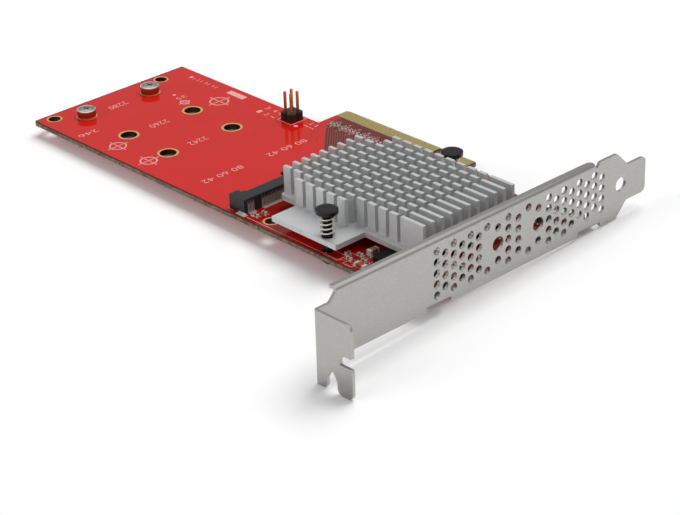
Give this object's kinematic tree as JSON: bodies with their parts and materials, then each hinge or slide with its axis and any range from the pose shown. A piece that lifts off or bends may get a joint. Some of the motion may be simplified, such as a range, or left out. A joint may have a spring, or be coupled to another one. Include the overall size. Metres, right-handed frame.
{
  "type": "nvme adapter card",
  "caption": "Red expansion card that carries slim solid-state drives, with edge connector, pin-fin heatsink on sprung pins, drive sockets, standoffs and a perforated steel slot bracket.",
  "frame": {"origin": "centre of the key notch on the edge connector's finger-tip edge, on the board's component face", "axes": "+X runs along the board towards the bracket, +Y out of the finger tips into the slot, +Z off the component face"},
  "size_m": [0.1744, 0.121, 0.0237],
  "materials": {
    "solder_mask": "glossy red solder mask over traces",
    "gold": "thin gold plating",
    "header_gold": "gold-plated square pins",
    "black_plastic": "moulded black nylon",
    "contact_metal": "tin-plated spring contacts",
    "turned_steel": "bright turned steel",
    "heatsink_aluminium": "clear-anodised extrusion, saw-cut fins",
    "spring_steel": "bright spring wire",
    "chip_plastic": "moulded epoxy",
    "thermal_pad": "soft grey silicone",
    "bracket_steel": "satin nickel-plated sheet",
    "tan_ceramic": "fired ceramic",
    "fuse_ceramic": "orange-brown coated ceramic",
    "tin": "soldered tin",
    "crystal_can": "pressed can",
    "light_lens": "clear epoxy"
  },
  "bodies": {
    "root": {"pcb": "solder_mask", "edge_contacts_top": "gold", "edge_contacts_bottom": "gold", "standoff_hole_plating": "gold", "corner_hole_plating": "gold", "pin_header_pins": "header_gold", "drive_socket_near": "black_plastic", "drive_socket_far": "black_plastic", "pin_header_base": "black_plastic", "push_pin_near": "black_plastic", "push_pin_far": "black_plastic", "socket_contacts_near": "contact_metal", "socket_contacts_far": "contact_metal", "socket_anchors": "contact_metal", "standoffs": "turned_steel", "drive_screws": "turned_steel", "bracket_screws": "turned_steel", "heatsink": "heatsink_aluminium", "push_pin_spring_near": "spring_steel", "push_pin_spring_far": "spring_steel", "bridge_chip": "chip_plastic", "memory_chip": "chip_plastic", "regulator_chip": "chip_plastic", "inductor": "chip_plastic", "thermal_pad": "thermal_pad", "bracket": "bracket_steel", "coupling_capacitor_bodies": "tan_ceramic", "bulk_capacitor_bodies": "tan_ceramic", "small_part_bodies": "tan_ceramic", "fuse_bodies": "fuse_ceramic", "coupling_capacitor_ends": "tin", "bulk_capacitor_ends": "tin", "small_part_ends": "tin", "fuse_ends": "tin", "memory_chip_legs": "tin", "regulator_chip_legs": "tin", "crystal": "crystal_can", "indicator_lights": "light_lens"}
  },
  "joints": []
}
